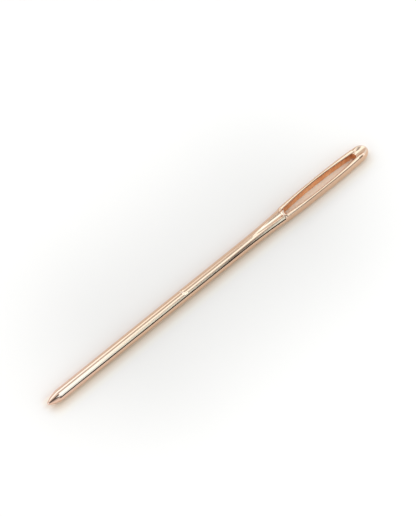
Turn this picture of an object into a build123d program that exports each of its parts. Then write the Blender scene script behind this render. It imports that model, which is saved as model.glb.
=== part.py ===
from build123d import *
import math
import os

os.makedirs("parts", exist_ok=True)

# A large-eyed yarn needle, made from one length of round wire. One end is ground to a blunt
# point. The other is slit and spread into a long eye between two side bars, and rounded off.
# It lies on its side along X, the point towards -X, the eye's two faces up and down.
# The origin is on the surface it lies on, below the middle of its length.

# The wire
needle_length = 70.0
wire_radius = 1.025

# The ground point, from its tip back
tip_radius = 0.34
taper_start_angle = 27.0
taper_end_angle = 8.0
taper_blend_radius = 2.5

# The slot of the eye, back from the head, and the two bars beside it
head_length = 2.5
slot_length = 15.4
slot_width = 1.65
slot_near_width = 1.05
slot_widest_share = 0.4675
slot_far_radius = 0.5
bar_width = 0.625
bar_crest_share = 0.35
bar_crest_angle = 75.0
bar_shoulder_share = 0.7

# How far each half of the wire is spread from its axis, and over what length
side_spread = 0.455
head_spread = 0.14
straight_length = 3.0
spread_length = 15.3

# The throat, where the yarn's groove runs down to a rounded lip between the bars
throat_length = 0.9
bar_bevel_angle = 30.0
groove_length = 5.6
groove_radius = 0.54
groove_depth = 0.45
lip_share = 0.85
shoulder_stations = 4

# The head, where a groove of the same tool leads the yarn out over a domed end
head_groove_depth = 0.3
dome_length = 1.9
dome_radius = 1.36

# Places along the needle
point_x = -needle_length / 2
head_x = needle_length / 2
slot_far_x = head_x - head_length
slot_near_x = slot_far_x - slot_length
eye_middle_x = (slot_near_x + slot_far_x) / 2
bars_x = slot_near_x - throat_length
groove_x = bars_x - groove_length
widest_x = eye_middle_x - straight_length / 2
closing_x = eye_middle_x + straight_length / 2
spread_x = widest_x - spread_length
slot_widest_run = slot_widest_share * slot_length
slot_widest_x = slot_near_x + slot_widest_run

# The wire's axis, and the plane through it that holds the profiles seen from the side
axis_height = wire_radius
wire_axis = Axis((0, 0, axis_height), (1, 0, 0))
side_plane = Plane(origin=(0, 0, axis_height), x_dir=(1, 0, 0), z_dir=(0, -1, 0))

# From above, each bar's outer flank leaves the axis on two equal arcs, runs straight past the
# middle of the slot and comes back on one long arc to the head. Each wall of the slot is one
# long arc from end to end, so that a bar is slimmest beside the widest place of the slot.
flank_offset = slot_width / 2 + bar_width - side_spread
wall_bow = (slot_width - slot_near_width) / 2
wall_radius = (slot_widest_run**2 + wall_bow**2) / (2 * wall_bow)
wall_centre_y = slot_width / 2 - wall_radius
slot_near_radius = slot_width / 2
opening_turn = 2 * math.atan(side_spread / spread_length)
opening_radius = spread_length / 2 / math.sin(opening_turn)
closing_turn = 2 * math.atan((side_spread - head_spread) / (head_x - closing_x))
closing_radius = (head_x - closing_x) / math.sin(closing_turn)


def flank_line():
    """The line of the left bar's outer flank, from above."""
    with BuildLine() as line:
        leaving = JernArc(
            (spread_x, flank_offset), (1, 0), opening_radius, math.degrees(opening_turn)
        )
        easing = JernArc(leaving @ 1, leaving % 1, opening_radius, -math.degrees(opening_turn))
        along = Line(easing @ 1, easing @ 1 + Vector(straight_length, 0))
        JernArc(along @ 1, (1, 0), closing_radius, -math.degrees(closing_turn))
    return line.wire()


def spread_at(x):
    """How far the halves of the wire have left its axis at a place before the eye's middle."""
    if x < spread_x + spread_length / 2:
        return opening_radius - math.sqrt(opening_radius**2 - (x - spread_x) ** 2)
    return side_spread - opening_radius + math.sqrt(opening_radius**2 - (widest_x - x) ** 2)


# In section, a bar has an upright punched wall, rounds over to a narrow crest at the wire's
# full height, and falls on a tight shoulder to a nearly flat outer flank.
crest_rounding = bar_crest_share * bar_width
flank_reach = bar_width - crest_rounding
shoulder_radius = bar_shoulder_share * flank_reach
shoulder_height = wire_radius - shoulder_radius
flank_radius = (shoulder_height**2 + flank_reach**2 - shoulder_radius**2) / (
    2 * (flank_reach - shoulder_radius)
)
flank_angle = math.degrees(math.atan2(shoulder_height, flank_radius - flank_reach))
wall_height = wire_radius - crest_rounding * math.sin(math.radians(bar_crest_angle))


def bar_section():
    """The left bar's section before the slot is opened, with its flank on the flank's line."""
    with BuildSketch(Plane.YZ.offset(spread_x)) as section:
        with BuildLine():
            crest = Line(
                (0, axis_height + wire_radius), (flank_offset - flank_reach, axis_height + wire_radius)
            )
            upper = JernArc(crest @ 1, crest % 1, shoulder_radius, flank_angle - 90)
            flank = JernArc(upper @ 1, upper % 1, flank_radius, -2 * flank_angle)
            lower = JernArc(flank @ 1, flank % 1, shoulder_radius, flank_angle - 90)
            Polyline(lower @ 1, (0, axis_height - wire_radius), crest @ 0)
        make_face()
    return section.sketch


# The punch that leaves the left wall: upright at its rim and flared above and below, which
# rounds the bar's inner edges
with BuildPart() as punch:
    with BuildSketch(
        Plane(origin=(slot_widest_x, wall_centre_y, axis_height), x_dir=(0, 1, 0), z_dir=(1, 0, 0))
    ):
        with BuildLine():
            rim = Line((wall_radius, 0), (wall_radius, wall_height))
            flare = JernArc(rim @ 1, rim % 1, crest_rounding, -90)
            Polyline(
                flare @ 1,
                flare @ 1 + Vector(0, wire_radius),
                (wall_radius - slot_width, wall_height + crest_rounding + wire_radius),
                (wall_radius - slot_width, 0),
                rim @ 0,
            )
        make_face()
    revolve(axis=Axis((slot_widest_x, wall_centre_y, 0), (0, 0, 1)))
    mirror(about=Plane.XY.offset(axis_height))


def between_the_walls():
    """The space between the two walls, from above, without the slot."""
    with BuildSketch() as space:
        with Locations((slot_widest_x, wall_centre_y)):
            Circle(wall_radius)
        with Locations((slot_widest_x, -wall_centre_y)):
            Circle(wall_radius, mode=Mode.INTERSECT)
        with Locations((slot_near_x + slot_near_radius, 0)):
            Circle(slot_near_radius, mode=Mode.SUBTRACT)
            Rectangle(
                slot_length - slot_near_radius - slot_far_radius,
                slot_width,
                align=(Align.MIN, Align.CENTER),
                mode=Mode.SUBTRACT,
            )
        with Locations((slot_far_x - slot_far_radius, 0)):
            Circle(slot_far_radius, mode=Mode.SUBTRACT)
    return space.sketch


# The point: a small round tip, a taper that steepens towards it, and a short blend into the wire
taper_radius = (
    wire_radius
    - tip_radius * math.cos(math.radians(taper_start_angle))
    - taper_blend_radius * (1 - math.cos(math.radians(taper_end_angle)))
) / (math.cos(math.radians(taper_end_angle)) - math.cos(math.radians(taper_start_angle)))
with BuildPart() as point:
    with BuildSketch(side_plane):
        with BuildLine():
            tip = JernArc((point_x, 0), (0, 1), tip_radius, taper_start_angle - 90)
            taper = JernArc(tip @ 1, tip % 1, taper_radius, taper_end_angle - taper_start_angle)
            blend = JernArc(taper @ 1, taper % 1, taper_blend_radius, -taper_end_angle)
            Polyline(blend @ 1, ((blend @ 1).X, 0), (point_x, 0))
        make_face()
    revolve(axis=wire_axis)
shank_x = point.part.bounding_box().max.X

# The shank: the plain round wire
with BuildPart() as shank:
    with BuildSketch(Plane.YZ.offset(shank_x)):
        with Locations((0, axis_height)):
            Circle(wire_radius)
    extrude(amount=spread_x - shank_x)



def grooves(start_x, start_depth, end_x, end_depth):
    """The round-bottomed tools that press the two grooves, their depths set at two places."""
    slope = math.atan2(end_depth - start_depth, abs(end_x - start_x))
    heading = math.copysign(1, end_x - start_x)
    with BuildPart() as tools:
        for face in (1, -1):
            ahead = Vector(heading * math.cos(slope), 0, -face * math.sin(slope))
            out = Vector(heading * math.sin(slope), 0, face * math.cos(slope))
            floor = Vector(start_x, 0, axis_height + face * (wire_radius - start_depth))
            with BuildSketch(Plane(origin=floor + out * groove_radius, x_dir=(0, 1, 0), z_dir=ahead)):
                Circle(groove_radius)
            extrude(amount=slot_length)
    return tools.part


# The tool that rounds the lip where the grooves meet the slot, as a countersink rounds a hole
lip_height = wire_radius - groove_depth
lip_radius = lip_share * lip_height
with BuildPart() as lip_tool:
    with BuildSketch(
        Plane(origin=(slot_near_x + slot_near_radius, 0, axis_height), x_dir=(1, 0, 0), z_dir=(0, -1, 0))
    ):
        with BuildLine():
            nose = JernArc((slot_near_radius, lip_height - lip_radius), (0, 1), lip_radius, -90)
            Polyline(
                nose @ 1,
                nose @ 1 + Vector(groove_depth, groove_depth),
                (0, wire_radius),
                (0, 0),
                (slot_near_radius, 0),
                nose @ 0,
            )
        make_face()
    revolve(axis=Axis((slot_near_x + slot_near_radius, 0, 0), (0, 0, 1)))
    mirror(about=Plane.XY.offset(axis_height))

# The shoulder: the wire widens to an oval, with a groove above and below that runs down to
# the lip between the bars
with BuildPart() as shoulder:
    for station in range(shoulder_stations + 1):
        station_x = spread_x + (bars_x - spread_x) * station / shoulder_stations
        with BuildSketch(Plane.YZ.offset(station_x)):
            with Locations((0, axis_height)):
                Ellipse(wire_radius + spread_at(station_x), wire_radius)
    loft()
    with BuildSketch(Plane.XY.offset(axis_height)):
        add(between_the_walls())
        with Locations((bars_x, 0)):
            Rectangle(
                eye_middle_x - bars_x, slot_width, align=(Align.MIN, Align.CENTER), mode=Mode.INTERSECT
            )
    extrude(amount=wall_height, both=True)
    add(grooves(groove_x, 0, slot_near_x, groove_depth), mode=Mode.SUBTRACT)
    add(lip_tool.part, mode=Mode.SUBTRACT)

# The bars beside the slot, each starting in a short bevel where it rises out of the shoulder
bevel_run = slot_length / 2
bevel_reach = bevel_run * math.tan(math.radians(bar_bevel_angle))
with BuildPart() as bevel:
    for run, reach in ((0, 0), (bevel_run, bevel_reach)):
        with BuildSketch(Plane.YZ.offset(bars_x + run)):
            with Locations((0, axis_height)):
                Ellipse(wire_radius + spread_at(bars_x) + reach, wire_radius + reach)
    loft(ruled=True)
    extrude(bevel.faces().sort_by(Axis.X)[-1], amount=slot_length)
with BuildPart() as left_eye_bar:
    add(bar_section())
    sweep(path=flank_line())
    split(bisect_by=Plane.YZ.offset(bars_x), keep=Keep.TOP)
    split(bisect_by=Plane.YZ.offset(slot_far_x), keep=Keep.BOTTOM)
    add(punch.part, mode=Mode.SUBTRACT)
    add(bevel.part, mode=Mode.INTERSECT)
with BuildPart() as right_eye_bar:
    mirror(left_eye_bar.part, about=Plane.XZ)

# The head: the bars' ends, joined between their walls, grooved above and below, under a dome
with BuildPart() as head:
    add(bar_section())
    sweep(path=flank_line())
    split(bisect_by=Plane.YZ.offset(slot_far_x), keep=Keep.TOP)
    add(punch.part, mode=Mode.SUBTRACT)
    mirror(about=Plane.XZ)
    with BuildSketch(Plane.XY.offset(axis_height)):
        add(between_the_walls())
        with Locations((eye_middle_x, 0)):
            Rectangle(
                head_x - eye_middle_x, slot_width, align=(Align.MIN, Align.CENTER), mode=Mode.INTERSECT
            )
    extrude(amount=wall_height, both=True)
    add(grooves(eye_middle_x, groove_depth, head_x, head_groove_depth), mode=Mode.SUBTRACT)
    with BuildSketch(side_plane):
        with Locations((head_x - dome_length, 0)):
            Ellipse(dome_length, dome_radius)
            Rectangle(slot_length, 2 * dome_radius, align=(Align.MAX, Align.CENTER))
        split(bisect_by=Plane.XZ, keep=Keep.BOTTOM)
    revolve(axis=wire_axis, mode=Mode.INTERSECT)

point.part.label = "point"
shank.part.label = "shank"
shoulder.part.label = "shoulder"
left_eye_bar.part.label = "left_eye_bar"
right_eye_bar.part.label = "right_eye_bar"
head.part.label = "head"
export_step(point.part, "parts/point.step")
export_step(shank.part, "parts/shank.step")
export_step(shoulder.part, "parts/shoulder.step")
export_step(left_eye_bar.part, "parts/left_eye_bar.step")
export_step(right_eye_bar.part, "parts/right_eye_bar.step")
export_step(head.part, "parts/head.step")
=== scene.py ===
import math

import bmesh
import bpy
import numpy as np
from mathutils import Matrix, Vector


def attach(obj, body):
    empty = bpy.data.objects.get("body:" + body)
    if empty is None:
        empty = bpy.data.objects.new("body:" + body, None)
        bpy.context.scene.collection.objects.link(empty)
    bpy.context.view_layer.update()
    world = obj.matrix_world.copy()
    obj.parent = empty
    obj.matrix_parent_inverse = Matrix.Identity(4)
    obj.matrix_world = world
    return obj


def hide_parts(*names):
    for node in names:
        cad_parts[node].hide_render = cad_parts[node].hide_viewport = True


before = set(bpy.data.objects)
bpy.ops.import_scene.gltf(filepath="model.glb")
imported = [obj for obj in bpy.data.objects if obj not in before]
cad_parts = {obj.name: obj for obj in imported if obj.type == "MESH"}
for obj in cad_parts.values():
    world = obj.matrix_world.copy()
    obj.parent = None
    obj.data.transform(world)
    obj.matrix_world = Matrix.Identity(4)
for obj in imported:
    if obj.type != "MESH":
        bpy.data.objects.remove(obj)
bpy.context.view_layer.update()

# The needle: one length of drawn steel wire, 2.05 mm thick. One end is ground to a blunt point.
# The other is pressed with a gutter above and below, slit and spread into a long eye, and
# rounded off. Then the whole wire is polished and plated in rose gold.
mm = 0.001
needle_length = 70 * mm
wire_radius = 1.025 * mm

# The ground point, from its tip back: a small round, a long arc and a short blend
tip_radius = 0.34 * mm
taper_start_angle = math.radians(27)
taper_end_angle = math.radians(8)
taper_blend_radius = 2.5 * mm

# The slot, the bars beside it, and how far they are spread from the wire's axis
head_length = 2.5 * mm
slot_length = 15.4 * mm
slot_width = 1.65 * mm
slot_near_width = 1.05 * mm
slot_widest_run = 7.2 * mm
slot_far_radius = 0.5 * mm
side_spread = 0.455 * mm
head_spread = 0.14 * mm
straight_length = 3 * mm
spread_length = 15.3 * mm

# A bar's section: a punched wall, a rounded crest, a tight shoulder and a nearly flat flank
bar_width = 0.625 * mm
crest_rounding = 0.35 * bar_width
flank_reach = bar_width - crest_rounding
shoulder_radius = 0.7 * flank_reach
wall_height = wire_radius - crest_rounding

# The gutters, the lip between the bars' starts, and the domed head
throat_length = 0.9 * mm
bar_bevel_angle = math.radians(30)
rise_before_bars = 0.2 * mm
rise_past_bars = 0.35 * mm
gutter_length = 5.6 * mm
gutter_radius = 0.54 * mm
gutter_depth = 0.45 * mm
head_gutter_depth = 0.3 * mm
head_gutter_radius = 1.5 * mm
lip_length = 0.85 * mm
lip_foot_share = 0.15
far_edge_rounding = 0.05 * mm
dome_length = 1.9 * mm
dome_radius = 1.36 * mm
dome_end_radius = 0.01 * mm

# Corners that the polishing wheel softens: most of them, the dome's edge and the lip's edge
polish_rounding = 0.08 * mm
dome_edge_rounding = 1.5 * polish_rounding
lip_edge_rounding = 0.02 * mm

point_x = -needle_length / 2
head_x = needle_length / 2
slot_far_x = head_x - head_length
slot_near_x = slot_far_x - slot_length
bars_x = slot_near_x - throat_length
gutter_x = bars_x - gutter_length
eye_middle_x = (slot_near_x + slot_far_x) / 2
widest_x = eye_middle_x - straight_length / 2
closing_x = eye_middle_x + straight_length / 2
spread_x = widest_x - spread_length
dome_x = head_x - dome_length

flank_offset = slot_width / 2 + bar_width - side_spread
slot_widest_x = slot_near_x + slot_widest_run
wall_bow = (slot_width - slot_near_width) / 2
wall_radius = (slot_widest_run**2 + wall_bow**2) / (2 * wall_bow)
opening_turn = 2 * math.atan(side_spread / spread_length)
opening_radius = spread_length / 2 / math.sin(opening_turn)
closing_turn = 2 * math.atan((side_spread - head_spread) / (head_x - closing_x))
closing_radius = (head_x - closing_x) / math.sin(closing_turn)

flank_height = wire_radius - shoulder_radius
flank_radius = (flank_height**2 + flank_reach**2 - shoulder_radius**2) / (
    2 * (flank_reach - shoulder_radius)
)
flank_angle = math.atan2(flank_height, flank_radius - flank_reach)
shoulder_end_angle = math.atan2(
    flank_radius * math.sin(flank_angle),
    flank_radius * math.cos(flank_angle) - flank_radius + flank_reach,
)


def arc_drop(radius, run):
    """How far an arc has fallen away from its tangent after a run along it."""
    return radius - np.sqrt(np.maximum(radius**2 - np.clip(run, 0, radius) ** 2, 0))


def spread_at(x):
    """How far each half of the wire lies out from its axis, seen from above."""
    leaving = arc_drop(opening_radius, np.clip(x - spread_x, 0, spread_length / 2))
    easing = side_spread - arc_drop(opening_radius, np.clip(widest_x - x, 0, spread_length / 2))
    closing = side_spread - arc_drop(closing_radius, x - closing_x)
    spread = np.where(x < spread_x + spread_length / 2, leaving, easing)
    return np.where(x > closing_x, closing, spread)


def wall_at(x):
    """How far each wall of the slot stands from the middle: one long arc from end to end."""
    return slot_width / 2 - arc_drop(wall_radius, np.abs(np.maximum(x, bars_x) - slot_widest_x))


def lower_of(a, b, rounding):
    """The lower of two surfaces, with their corner rounded by polishing."""
    share = np.clip(0.5 + 0.5 * (b - a) / rounding, 0, 1)
    return b + (a - b) * share - rounding * share * (1 - share)


def smooth_step(x, start, end):
    """0 before the start, 1 past the end, and an even curve between them."""
    share = np.clip((x - start) / (end - start), 0, 1)
    return share * share * (3 - 2 * share)


def ray_to_oval(middle, angle, centre_y, centre_z, half_width, half_height):
    """How far a ray from the middle of a bar runs before it leaves an oval."""
    start_y, start_z = (middle - centre_y) / half_width, -centre_z / half_height
    step_y, step_z = np.cos(angle) / half_width, np.sin(angle) / half_height
    a = step_y**2 + step_z**2
    b = start_y * step_y + start_z * step_z
    c = start_y**2 + start_z**2 - 1
    return (np.sqrt(np.maximum(b * b - a * c, 0)) - b) / a


def bevel_reach(x):
    """How far the bevel at the bars' start has risen above the shoulder's oval."""
    return np.maximum(x - bars_x, 0) * math.tan(bar_bevel_angle)


def bar_share(x):
    """0 before the bars, 1 once they have risen out of the shoulder."""
    return smooth_step(x, bars_x - rise_before_bars, bars_x + rise_past_bars)


def body_height(x, y, dome):
    """The height of the needle above its axis, without the gutters, out to the bars' crests."""
    spread = spread_at(x)
    oval = wire_radius * np.sqrt(np.maximum(1 - (y / (wire_radius + spread)) ** 2, 0))
    inward = np.clip(wall_at(x) + crest_rounding - y, 0, crest_rounding)
    rounding = wire_radius - arc_drop(crest_rounding, inward)
    bar = np.where(y < wall_at(x), wall_height, rounding)
    reach = bevel_reach(x)
    across = y / (wire_radius + spread_at(bars_x) + reach)
    bevel = (wire_radius + reach) * np.sqrt(np.maximum(1 - across**2, 0))
    share = bar_share(x)
    body = oval * (1 - share) + lower_of(bar, bevel, polish_rounding) * share
    round_end = np.sqrt(np.maximum(dome**2 - y**2, 0))
    return np.where(x > slot_far_x, lower_of(body, round_end, dome_edge_rounding), body)


def body_reach(x, middle, angle, dome):
    """The same surface outside the crests, measured along rays from the middle of a bar."""
    spread = spread_at(x)
    oval = ray_to_oval(middle, angle, 0, 0, wire_radius + spread, wire_radius)
    shoulder_y = flank_offset + spread - flank_reach
    shoulder = ray_to_oval(middle, angle, shoulder_y, flank_height, shoulder_radius, shoulder_radius)
    flank_y = flank_offset + spread - flank_radius
    flank = ray_to_oval(middle, angle, flank_y, 0, flank_radius, flank_radius)
    bar = np.where(angle > shoulder_end_angle, shoulder, flank)
    reach = bevel_reach(x)
    bevel = ray_to_oval(
        middle, angle, 0, 0, wire_radius + spread_at(bars_x) + reach, wire_radius + reach
    )
    share = bar_share(x)
    body = oval * (1 - share) + lower_of(bar, bevel, polish_rounding) * share
    round_end = ray_to_oval(middle, angle, 0, 0, dome, dome)
    return np.where(x > slot_far_x, lower_of(body, round_end, dome_edge_rounding), body)


def gutter_height(x, y):
    """The floor and sides of the gutter that the yarn lies in."""
    leading = gutter_depth * np.minimum((x - gutter_x) / (slot_near_x - gutter_x), 1)
    trailing = gutter_depth + (head_gutter_depth - gutter_depth) * (x - eye_middle_x) / (
        head_x - eye_middle_x
    )
    depth = np.where(x < eye_middle_x, leading, trailing)
    flare = np.clip((x - slot_far_x) / head_length, 0, 1)
    radius = gutter_radius + (head_gutter_radius - gutter_radius) * flare
    return wire_radius - depth + arc_drop(radius, y)


def lip_height(x, y, outside):
    """The rounding of the solid towards the slot, by the distance outside the slot's end."""
    lip_top = wire_radius - gutter_depth
    inward = np.clip(1 - outside / lip_length, 0, 1)
    nose = lip_foot_share + (1 - lip_foot_share) * np.sqrt(1 - inward**2)
    near = lip_top * nose + np.maximum(outside - lip_length, 0)
    far = wire_radius - arc_drop(far_edge_rounding, far_edge_rounding - outside)
    return np.where(x < eye_middle_x, near, far)


# Stations along the needle, close together where its shape turns quickly
throat_lead = 0.3 * mm
tip_turn = np.linspace(0, math.pi / 2 - taper_start_angle, 12)
taper_radius = (
    wire_radius
    - tip_radius * math.cos(taper_start_angle)
    - taper_blend_radius * (1 - math.cos(taper_end_angle))
) / (math.cos(taper_end_angle) - math.cos(taper_start_angle))
taper_turn = np.linspace(taper_start_angle, taper_end_angle, 30)
blend_turn = np.linspace(taper_end_angle, 0, 10)
tip_x = point_x + tip_radius * (1 - np.cos(tip_turn))
tip_r = tip_radius * np.sin(tip_turn)
taper_x = tip_x[-1] + taper_radius * (math.sin(taper_start_angle) - np.sin(taper_turn))
taper_r = tip_r[-1] + taper_radius * (np.cos(taper_turn) - math.cos(taper_start_angle))
blend_x = taper_x[-1] + taper_blend_radius * (math.sin(taper_end_angle) - np.sin(blend_turn))
blend_r = taper_r[-1] + taper_blend_radius * (np.cos(blend_turn) - math.cos(taper_end_angle))
point_xs = np.concatenate([tip_x, taper_x[1:], blend_x[1:]])
point_rs = np.concatenate([tip_r, taper_r[1:], blend_r[1:]])

slot_near_radius = slot_width / 2
quarter_turn = np.linspace(0, math.pi / 2, 17)
near_turn = np.linspace(0, math.asin(slot_near_width / slot_width), 17)
near_end_x = slot_near_x + slot_near_radius * (1 - np.cos(near_turn))
far_end_x = slot_far_x - slot_far_radius * (1 - np.cos(quarter_turn[::-1]))
nose_x = slot_near_x - lip_length * (1 - np.cos(quarter_turn[::-1]))
edge_x = slot_far_x + far_edge_rounding * (1 - np.cos(quarter_turn[::3]))
dome_turn = np.linspace(0, math.pi / 2, 31)
dome_xs = dome_x + dome_length * np.sin(dome_turn)
stations = np.concatenate(
    [
        point_xs,
        np.linspace(point_xs[-1], spread_x, 90)[1:],
        np.linspace(spread_x, gutter_x, 16)[1:],
        np.linspace(gutter_x, bars_x - throat_lead, 60)[1:],
        np.linspace(bars_x - throat_lead, nose_x[0], 26)[1:],
        nose_x[1:],
        near_end_x[1:],
        np.linspace(near_end_x[-1], far_end_x[0], 110)[1:],
        far_end_x[1:],
        edge_x[1:],
        np.linspace(edge_x[-1], dome_x, 12)[1:],
        dome_xs[1:],
    ]
)
slot_start = int(np.argmin(np.abs(stations - slot_near_x)))
slot_end = int(np.argmin(np.abs(stations - slot_far_x)))

# Each ring runs from the slot, or the middle of the wire, over the crest to the outer side
x = stations[:, None]
ground_radius = np.interp(x, point_xs, point_rs)
dome_share = np.clip((x - dome_x) / dome_length, 0, 1)
dome = np.maximum(dome_radius * np.sqrt(1 - dome_share**2), dome_end_radius)
near_centre_x = slot_near_x + slot_near_radius
far_centre_x = slot_far_x - slot_far_radius
near_edge = np.sqrt(np.maximum(slot_near_radius**2 - np.maximum(near_centre_x - x, 0) ** 2, 0))
far_edge = np.sqrt(np.maximum(slot_far_radius**2 - (x - far_centre_x) ** 2, 0))
end_edge = np.where(x > far_centre_x, far_edge, near_edge)
in_slot = (x > slot_near_x) & (x < slot_far_x)
inner = np.where(in_slot, np.minimum(wall_at(x), end_edge), 0)
wall_dome_share = 0.62
crest_dome_share = 0.8
wall_line = np.minimum(wall_at(x), wall_dome_share * dome)
crest_line = np.minimum(flank_offset + spread_at(x) - flank_reach, crest_dome_share * dome)

# The web's points crowd towards the slot's edge, along the slot and just before it
web_steps, wall_steps, crest_steps, shoulder_steps, flank_steps, column_steps = 28, 5, 8, 12, 12, 6
across = np.linspace(0, 1, web_steps + 1)[None, :]
edge_bunching = 0.8
bunched_reach = 1 * mm
bunching = 1 + np.where(in_slot | (np.abs(x - slot_near_x) < bunched_reach), edge_bunching, 0)
web_y = inner + (wall_line - inner) * across**bunching
end_radius = np.where(x < eye_middle_x, slot_near_radius, slot_far_radius)
beyond = np.where(x < eye_middle_x, near_centre_x - x, x - far_centre_x)
outside = np.hypot(np.maximum(beyond, 0), web_y) - end_radius
web_z = lower_of(body_height(x, web_y, dome), gutter_height(x, web_y), polish_rounding)
web_z = lower_of(web_z, lip_height(x, web_y, np.maximum(outside, 0)), lip_edge_rounding)
open_share = (x - near_end_x[-1]) / (far_end_x[0] - near_end_x[-1])
open_z = web_z[slot_start, 0] + (wall_height - far_edge_rounding - web_z[slot_start, 0]) * open_share
web_z = np.where((x > near_end_x[-1]) & (x < far_end_x[0]), open_z, web_z)

crest_turn = np.linspace(0, math.pi / 2, crest_steps + 1)[None, :]
crest_y = wall_line + (crest_line - wall_line) * (1 - np.cos(crest_turn))
crest_z = lower_of(body_height(x, crest_y, dome), gutter_height(x, crest_y), polish_rounding)
wall_share = np.linspace(0, 1, wall_steps + 1)[None, 1:-1]
wall_z = web_z[:, -1:] + (crest_z[:, :1] - web_z[:, -1:]) * wall_share
wall_y = np.broadcast_to(wall_line, wall_z.shape)

bend_angle = math.radians(68)
ray_angle = np.concatenate(
    [
        np.linspace(math.pi / 2, bend_angle, shoulder_steps + 1)[1:],
        np.linspace(bend_angle, 0, flank_steps + 1)[1:],
    ]
)[None, :]
reach = body_reach(x, crest_line, ray_angle, dome)
outer_y = crest_line + reach * np.cos(ray_angle)
outer_z = reach * np.sin(ray_angle)

half_y = np.concatenate([web_y, wall_y, crest_y, outer_y], axis=1)
half_z = np.concatenate([web_z, wall_z, crest_z, outer_z], axis=1)
shrink = ground_radius / wire_radius
half_y = half_y * shrink
half_z = half_z * shrink
ring_y = np.concatenate([half_y, half_y[:, -2::-1]], axis=1)
ring_z = np.concatenate([half_z, -half_z[:, -2::-1]], axis=1)

# The rings are joined on both sides of the middle. The upright walls of the slot, and the
# columns that close them between top and bottom, take the second material.
weld_distance = 0.0001 * mm
crease_angle = math.radians(38)
needle_mesh = bpy.data.meshes.new("needle")
build = bmesh.new()
for side in (1, -1):
    rings = [
        [build.verts.new((sx, side * ry, wire_radius + rz)) for ry, rz in zip(ys, zs)]
        for sx, ys, zs in zip(stations, ring_y, ring_z)
    ]
    for i, (ahead, behind) in enumerate(zip(rings[1:], rings)):
        for k in range(len(ahead) - 1):
            face = build.faces.new((behind[k], behind[k + 1], ahead[k + 1], ahead[k])[::side])
            from_slot = min(k, len(ahead) - 2 - k)
            is_wall = web_steps <= from_slot < web_steps + wall_steps
            face.material_index = int(is_wall and slot_start <= i < slot_end)
    columns = []
    for i in range(slot_start, slot_end + 1):
        top = half_z[i, 0]
        heights = np.linspace(-top, top, 2 * column_steps + 1)
        edge = side * half_y[i, 0]
        columns.append([build.verts.new((stations[i], edge, wire_radius + h)) for h in heights])
    for ahead, behind in zip(columns[1:], columns):
        for k in range(2 * column_steps):
            face = build.faces.new((behind[k], behind[k + 1], ahead[k + 1], ahead[k])[::side])
            face.material_index = 1
bmesh.ops.remove_doubles(build, verts=build.verts, dist=weld_distance)
bmesh.ops.recalc_face_normals(build, faces=build.faces)
build.to_mesh(needle_mesh)
build.free()
needle_mesh.shade_smooth()
needle_mesh.set_sharp_from_angle(angle=crease_angle)
needle = bpy.data.objects.new("needle", needle_mesh)
bpy.context.scene.collection.objects.link(needle)


def linear(hex_colour):
    """An sRGB hex colour as the linear colour that a shader takes."""
    parts = [int(hex_colour[i : i + 2], 16) / 255 for i in (1, 3, 5)]
    return [p / 12.92 if p <= 0.04045 else ((p + 0.055) / 1.055) ** 2.4 for p in parts] + [1]


def add_node(tree, kind, settings=None, links=None, stops=()):
    """Adds a node, sets its properties and sockets by name, links sockets and fills a ramp."""
    node = tree.nodes.new(kind)
    for name, value in (settings or {}).items():
        if isinstance(name, str) and hasattr(node, name):
            setattr(node, name, value)
        else:
            node.inputs[name].default_value = value
    for name, source in (links or {}).items():
        tree.links.new(source, node.inputs[name])
    for place, hex_colour in stops[2:]:
        node.color_ramp.elements.new(place)
    for k, (place, hex_colour) in enumerate(stops):
        node.color_ramp.elements[k].position = place
        node.color_ramp.elements[k].color = linear(hex_colour)
    return node


# Rose-gold plate over polished steel. The plating gives the eye its pink-gold colour, and the colour
# is paler towards the point. The polishing wheel leaves faint marks along the wire. They are finer
# than a pixel and are drawn several times coarser.
paler_from_x = -14 * mm
palest_x = point_x + 1 * mm
mark_length = 6 * mm
mark_width = 0.2 * mm
mark_depth = 0.002 * mm
plate = bpy.data.materials.new("rose-gold plate")
plate.use_nodes = True
tree = plate.node_tree
shader = tree.nodes["Principled BSDF"]
shader.inputs["Metallic"].default_value = 1
place = add_node(tree, "ShaderNodeTexCoord")
along = add_node(tree, "ShaderNodeSeparateXYZ", links={0: place.outputs["Object"]})
# The plate's colour turns paler towards the point.
paler_share = add_node(
    tree,
    "ShaderNodeMapRange",
    {"interpolation_type": "SMOOTHSTEP", "From Min": paler_from_x, "From Max": palest_x},
    {"Value": along.outputs["X"]},
)
plate_colour = add_node(
    tree,
    "ShaderNodeMix",
    {"data_type": "RGBA", 6: linear("#E0BCA0"), 7: linear("#E6C3AE")},
    {0: paler_share.outputs[0]},
)
tree.links.new(plate_colour.outputs[2], shader.inputs["Base Color"])
stretched = add_node(
    tree,
    "ShaderNodeMapping",
    {"Scale": (1 / mark_length, 1 / mark_width, 1 / mark_width)},
    {"Vector": place.outputs["Object"]},
)
polish_marks = add_node(
    tree, "ShaderNodeTexNoise", {"Scale": 1.0, "Detail": 3.0}, {"Vector": stretched.outputs[0]}
)
polish = add_node(
    tree,
    "ShaderNodeMapRange",
    {"From Min": 0.35, "From Max": 0.7, "To Min": 0.05, "To Max": 0.13},
    {"Value": polish_marks.outputs[0]},
)
tree.links.new(polish.outputs[0], shader.inputs["Roughness"])
marks = add_node(
    tree,
    "ShaderNodeBump",
    {"Strength": 0.6, "Distance": mark_depth},
    {"Height": polish_marks.outputs[0]},
)

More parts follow.
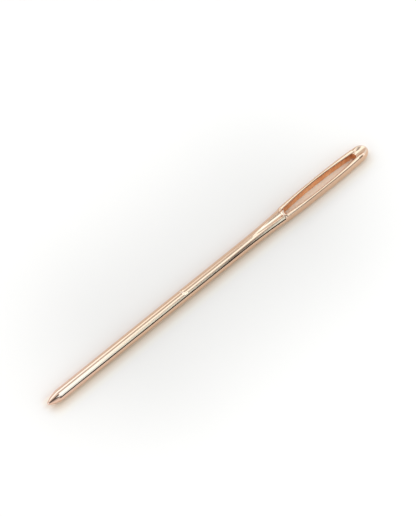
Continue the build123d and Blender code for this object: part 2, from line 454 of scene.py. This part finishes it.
# A nick runs slantwise over the top of the shank and fades out on the near side.
nick_x = -5.3 * mm
nick_slant = 0.25
nick_half_width = 0.4 * mm
nick_end_y = -0.6 * mm
nick_full_y = -0.4 * mm
nick_depth = 0.05 * mm
nick_side = add_node(
    tree,
    "ShaderNodeVectorMath",
    {"operation": "DOT_PRODUCT", 1: (1, nick_slant, 0)},
    {0: place.outputs["Object"]},
)
nick_offset = add_node(
    tree,
    "ShaderNodeMath",
    {"operation": "SUBTRACT", 1: nick_x},
    {0: nick_side.outputs["Value"]},
)
nick_distance = add_node(
    tree, "ShaderNodeMath", {"operation": "ABSOLUTE"}, {0: nick_offset.outputs[0]}
)
nick_across = add_node(
    tree,
    "ShaderNodeMapRange",
    {"interpolation_type": "SMOOTHSTEP", "From Min": nick_half_width, "From Max": 0.0},
    {"Value": nick_distance.outputs[0]},
)
nick_along = add_node(
    tree,
    "ShaderNodeMapRange",
    {"interpolation_type": "SMOOTHSTEP", "From Min": nick_end_y, "From Max": nick_full_y},
    {"Value": along.outputs["Y"]},
)
nick = add_node(
    tree,
    "ShaderNodeMath",
    {"operation": "MULTIPLY"},
    {0: nick_across.outputs[0], 1: nick_along.outputs[0]},
)
dented = add_node(
    tree,
    "ShaderNodeBump",
    {"Strength": 1.0, "Distance": nick_depth, "invert": True},
    {"Height": nick.outputs[0], "Normal": marks.outputs[0]},
)
tree.links.new(dented.outputs[0], shader.inputs["Normal"])
needle_mesh.materials.append(plate)

# The same plate on the punched walls of the slot, which the polishing wheel doesn't reach. It is
# rougher there, with upright marks from the punch, drawn a little coarser. Its deeper, more coppery
# colour is painted light bouncing between the slot's walls.
punch_mark_width = 0.5 * mm
punch_mark_height = 2.5 * mm
ripple_depth = 0.02 * mm
punched = bpy.data.materials.new("rose-gold plate, punched, painted bounce light")
punched.use_nodes = True
tree = punched.node_tree
shader = tree.nodes["Principled BSDF"]
shader.inputs["Metallic"].default_value = 1
shader.inputs["Roughness"].default_value = 0.34
place = add_node(tree, "ShaderNodeTexCoord")
upright = add_node(
    tree,
    "ShaderNodeMapping",
    {"Scale": (1 / punch_mark_width, 1 / punch_mark_width, 1 / punch_mark_height)},
    {"Vector": place.outputs["Object"]},
)
punch_marks = add_node(
    tree, "ShaderNodeTexNoise", {"Scale": 1.0, "Detail": 2.0}, {"Vector": upright.outputs[0]}
)
punch_share = add_node(
    tree, "ShaderNodeMapRange", {"From Min": 0.35, "From Max": 0.65}, {"Value": punch_marks.outputs[0]}
)
# Painted bounce light: deeper, more coppery colours where the plate's light bounces between the slot's
# walls.
walls_painted_bounce_colour = add_node(
    tree,
    "ShaderNodeMix",
    {"data_type": "RGBA", 6: linear("#EAA670"), 7: linear("#F6BF8F")},
    {0: punch_share.outputs[0]},
)
tree.links.new(walls_painted_bounce_colour.outputs[2], shader.inputs["Base Color"])
ripples = add_node(
    tree,
    "ShaderNodeBump",
    {"Strength": 0.8, "Distance": ripple_depth},
    {"Height": punch_marks.outputs[0]},
)
tree.links.new(ripples.outputs[0], shader.inputs["Normal"])
needle_mesh.materials.append(punched)

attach(needle, "root")
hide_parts("point", "shank", "shoulder", "left_eye_bar", "right_eye_bar", "head")

# The surface it lies on: a sheet of smooth white card, wide enough to have no edge in view. To the
# camera it is pure white further out, with a soft pale grey painted shade close to the needle.
sheet_reach = 1.5
painted_shade_halo_half_length = 14 * mm
painted_shade_halo_reach = 32 * mm
painted_shade_halo_level = 0.7
white_level = 0.84
soft_light_level = 0.75
shade_reach = 4 * mm
shade_fade = 2 * mm
neutral_shade = "#E3E3E3"

# What cancels the coolness of the softboxes on the card
daylight_balance = (1.58, 1.325, 1.161)
sheet_mesh = bpy.data.meshes.new("white_sheet")
corners = [(-sheet_reach, -sheet_reach), (sheet_reach, -sheet_reach)]
corners += [(sheet_reach, sheet_reach), (-sheet_reach, sheet_reach)]
sheet_mesh.from_pydata([(cx, cy, 0) for cx, cy in corners], [], [(0, 1, 2, 3)])
white_sheet = bpy.data.objects.new("white_sheet", sheet_mesh)
bpy.context.scene.collection.objects.link(white_sheet)
card = bpy.data.materials.new("white card")
card.use_nodes = True
tree = card.node_tree
tree.nodes.clear()
place = add_node(tree, "ShaderNodeNewGeometry")
from_middle = add_node(
    tree, "ShaderNodeVectorMath", {"operation": "ABSOLUTE"}, {0: place.outputs["Position"]}
)
past_painted_shade_halo = add_node(
    tree,
    "ShaderNodeVectorMath",
    {"operation": "SUBTRACT", 1: (painted_shade_halo_half_length, 0, 0)},
    {0: from_middle.outputs[0]},
)
from_needle = add_node(
    tree, "ShaderNodeVectorMath", {"operation": "MAXIMUM", 1: (0, 0, 0)}, {0: past_painted_shade_halo.outputs[0]}
)
distance = add_node(
    tree, "ShaderNodeVectorMath", {"operation": "LENGTH"}, {0: from_needle.outputs[0]}
)
# Painted shade: the card is pale grey close to the needle and white further out.
painted_shade_halo_fade = add_node(
    tree,
    "ShaderNodeMapRange",
    {
        "interpolation_type": "SMOOTHSTEP",
        "From Min": 0.0,
        "From Max": painted_shade_halo_reach,
        "To Min": painted_shade_halo_level,
        "To Max": white_level,
    },
    {"Value": distance.outputs["Value"]},
)
light_path = add_node(tree, "ShaderNodeLightPath")
seen = add_node(
    tree,
    "ShaderNodeMath",
    {"operation": "MAXIMUM"},
    {0: light_path.outputs["Is Camera Ray"], 1: light_path.outputs["Is Glossy Ray"]},
)
card_colour = add_node(
    tree,
    "ShaderNodeMix",
    {"data_type": "FLOAT", 2: soft_light_level},
    {0: seen.outputs[0], 3: painted_shade_halo_fade.outputs[0]},
)
beside = add_node(tree, "ShaderNodeSeparateXYZ", links={0: place.outputs["Position"]})
near_side = add_node(
    tree,
    "ShaderNodeMapRange",
    {"From Min": shade_reach, "From Max": -shade_reach},
    {"Value": beside.outputs["Y"]},
)

# Shades of the card by how far it lies from the needle's line towards the near side, in mm:
# warm where the plate shines onto it, and greyer in the needle's shadow
shade_stops = [(-2.2, neutral_shade), (-1.5, "#E0DDDC"), (-1.0, "#F9F6E8"), (0.2, "#F9F6E8")]
shade_stops += [(0.7, "#DBD2C2"), (1.0, "#DBD2C2"), (1.7, "#E4DED5"), (2.4, "#E6E5E1")]
shade_stops += [(3.2, neutral_shade)]
shade = add_node(
    tree,
    "ShaderNodeValToRGB",
    links={"Fac": near_side.outputs[0]},
    stops=[(0.5 + y * mm / (2 * shade_reach), hex_colour) for y, hex_colour in shade_stops],
)
from_cross_line = add_node(
    tree, "ShaderNodeMath", {"operation": "ABSOLUTE"}, {0: beside.outputs["X"]}
)
end_share = add_node(
    tree,
    "ShaderNodeMapRange",
    {
        "interpolation_type": "SMOOTHSTEP",
        "From Min": head_x - shade_fade,
        "From Max": head_x + shade_fade / 2,
    },
    {"Value": from_cross_line.outputs[0]},
)
floor_shade = add_node(
    tree,
    "ShaderNodeMix",
    {"data_type": "RGBA", 7: linear(neutral_shade)},
    {0: end_share.outputs[0], 6: shade.outputs[0]},
)
warmed = add_node(
    tree,
    "ShaderNodeVectorMath",
    {"operation": "MULTIPLY", 1: daylight_balance},
    {0: floor_shade.outputs[2]},
)
floor_colour = add_node(
    tree,
    "ShaderNodeVectorMath",
    {"operation": "MULTIPLY"},
    {0: warmed.outputs[0], 1: card_colour.outputs[0]},
)
diffuse = add_node(tree, "ShaderNodeBsdfDiffuse", links={"Color": floor_colour.outputs[0]})
add_node(tree, "ShaderNodeOutputMaterial", links={"Surface": diffuse.outputs[0]})
sheet_mesh.materials.append(card)

# The studio light: a pale room with a dark strip low on the near side, dark high up on the
# point's side, white cards past both ends, and softboxes side by side above the head's end.
world = bpy.data.worlds.new("studio")
bpy.context.scene.world = world
world.use_nodes = True
tree = world.node_tree
direction = add_node(tree, "ShaderNodeTexCoord")
parts = add_node(tree, "ShaderNodeSeparateXYZ", links={0: direction.outputs["Generated"]})
forward = add_node(tree, "ShaderNodeMath", {"operation": "MULTIPLY", 1: -1}, {0: parts.outputs["Y"]})
lean = add_node(
    tree,
    "ShaderNodeMath",
    {"operation": "ARCTAN2"},
    {0: forward.outputs[0], 1: parts.outputs["Z"]},
)
lean_share = add_node(
    tree,
    "ShaderNodeMapRange",
    {"From Min": -math.pi / 2, "From Max": math.pi / 2},
    {"Value": lean.outputs[0]},
)

# Colours of the room by how far a direction leans from overhead, in degrees, from the far side
# of the needle to the near side
head_stops = [(-90, "#ECECEC"), (-32, "#E7E7E7"), (-20, "#D4D4D4"), (-8, "#D0D4D8")]
head_stops += [(24, "#D8DCE0"), (35, "#D8DCE0"), (41, "#2A1E16"), (88, "#2A1E16")]
head_stops += [(90, "#A0A0A0")]
point_stops = [(-90, "#ECECEC"), (-50, "#F3F3F3"), (-44, "#FFFFFF"), (-8, "#FFFFFF")]
point_stops += [(0, "#6C6C6C"), (52, "#6C6C6C"), (58, "#D9D9D9"), (90, "#F3F3F3")]
beside_head, beside_point = [
    add_node(
        tree,
        "ShaderNodeValToRGB",
        links={"Fac": lean_share.outputs[0]},
        stops=[((degrees + 90) / 180, hex_colour) for degrees, hex_colour in stops],
    )
    for stops in (head_stops, point_stops)
]

# Where the room changes along the needle, by the X share of a direction: from the point's side
# to the head's side, and where the white cards past the head and past the point begin
side_edge = (-0.08, 0.02)
head_card_edge = (0.36, 0.5)
point_card_edge = (-0.6, -0.68)
end_card_light = (1.1, 1.35, 1.6, 1)
side_share, past_head, past_point = [
    add_node(
        tree,
        "ShaderNodeMapRange",
        {"interpolation_type": "SMOOTHSTEP", "From Min": start, "From Max": end},
        {"Value": parts.outputs["X"]},
    )
    for start, end in (side_edge, head_card_edge, point_card_edge)
]
sides = add_node(
    tree,
    "ShaderNodeMix",
    {"data_type": "RGBA"},
    {0: side_share.outputs[0], 6: beside_point.outputs[0], 7: beside_head.outputs[0]},
)
past_either_end = add_node(
    tree,
    "ShaderNodeMath",
    {"operation": "MAXIMUM"},
    {0: past_head.outputs[0], 1: past_point.outputs[0]},
)
room = add_node(
    tree,
    "ShaderNodeMix",
    {"data_type": "RGBA", 7: end_card_light},
    {0: past_either_end.outputs[0], 6: sides.outputs[2]},
)
tree.links.new(room.outputs[2], tree.nodes["Background"].inputs["Color"])

cool_daylight = (0.71, 1.0, 1.18)
plain_white = (1, 1, 1)


def softbox(name, middle, size, turn, radiance, colour=cool_daylight):
    """A glowing sheet, turned by angles in degrees from facing straight down. No view shows it."""
    lamp = bpy.data.lights.new(name, "AREA")
    lamp.shape = "RECTANGLE"
    lamp.size, lamp.size_y = size
    lamp.energy = radiance * math.pi * lamp.size * lamp.size_y
    lamp.color = colour
    box = bpy.data.objects.new(name, lamp)
    box.location = middle
    box.rotation_euler = [math.radians(angle) for angle in turn]
    box.visible_camera = False
    bpy.context.scene.collection.objects.link(box)


softbox("softbox_overhead", (0.16, -0.075, 0.5), (0.4, 0.23), (0, 0, 0), 1.25)
softbox("softbox_head", (0.273, 0.135, 0.5), (0.17, 0.19), (0, 0, -4.9), 1.25)
softbox("softbox_near", (0.112, -0.68, 0.5), (0.3, 0.98), (0, 0, 13.5), 1.4)
softbox("softbox_near_dim", (0.154, -0.786, 0.5), (0.3, 0.776), (0, 0, 14.5), 1.3)
softbox("softbox_far", (-0.063, 0.6, 0.5), (0.6, 0.5), (0, 0, -13), 1.1)
softbox("softbox_far_dim", (-0.044, 0.6, 0.5), (0.6, 0.5), (0, 0, -13), 0.6)
softbox("card_near_head", (0.215, -0.3, 0.11), (0.18, 0.2), (90, 0, 0), 0.4, plain_white)

# The camera: a long lens, high on the point's side of the needle.
image_width, image_height = 416, 516
camera_azimuth, camera_elevation = math.radians(-42.3), math.radians(62)
camera_distance = 2.5
field_width = 67.55 * mm
needle_middle_pixel = (207.84, 275.53)
back = Vector(
    (
        math.sin(camera_azimuth) * math.cos(camera_elevation),
        -math.cos(camera_azimuth) * math.cos(camera_elevation),
        math.sin(camera_elevation),
    )
)
facing = (-back).to_track_quat("-Z", "Y")
pixel = field_width / image_width
shift_right = (image_width / 2 - needle_middle_pixel[0]) * pixel
shift_up = (needle_middle_pixel[1] - image_height / 2) * pixel
lens = bpy.data.cameras.new("camera")
lens.lens = lens.sensor_width * camera_distance / (pixel * image_height)
camera = bpy.data.objects.new("camera", lens)
camera.rotation_euler = facing.to_euler()
target = Vector((0, 0, wire_radius)) + facing @ Vector((shift_right, shift_up, 0))
camera.location = target + back * camera_distance
bpy.context.scene.collection.objects.link(camera)
bpy.context.scene.camera = camera
bpy.context.scene.view_settings.view_transform = "Standard"
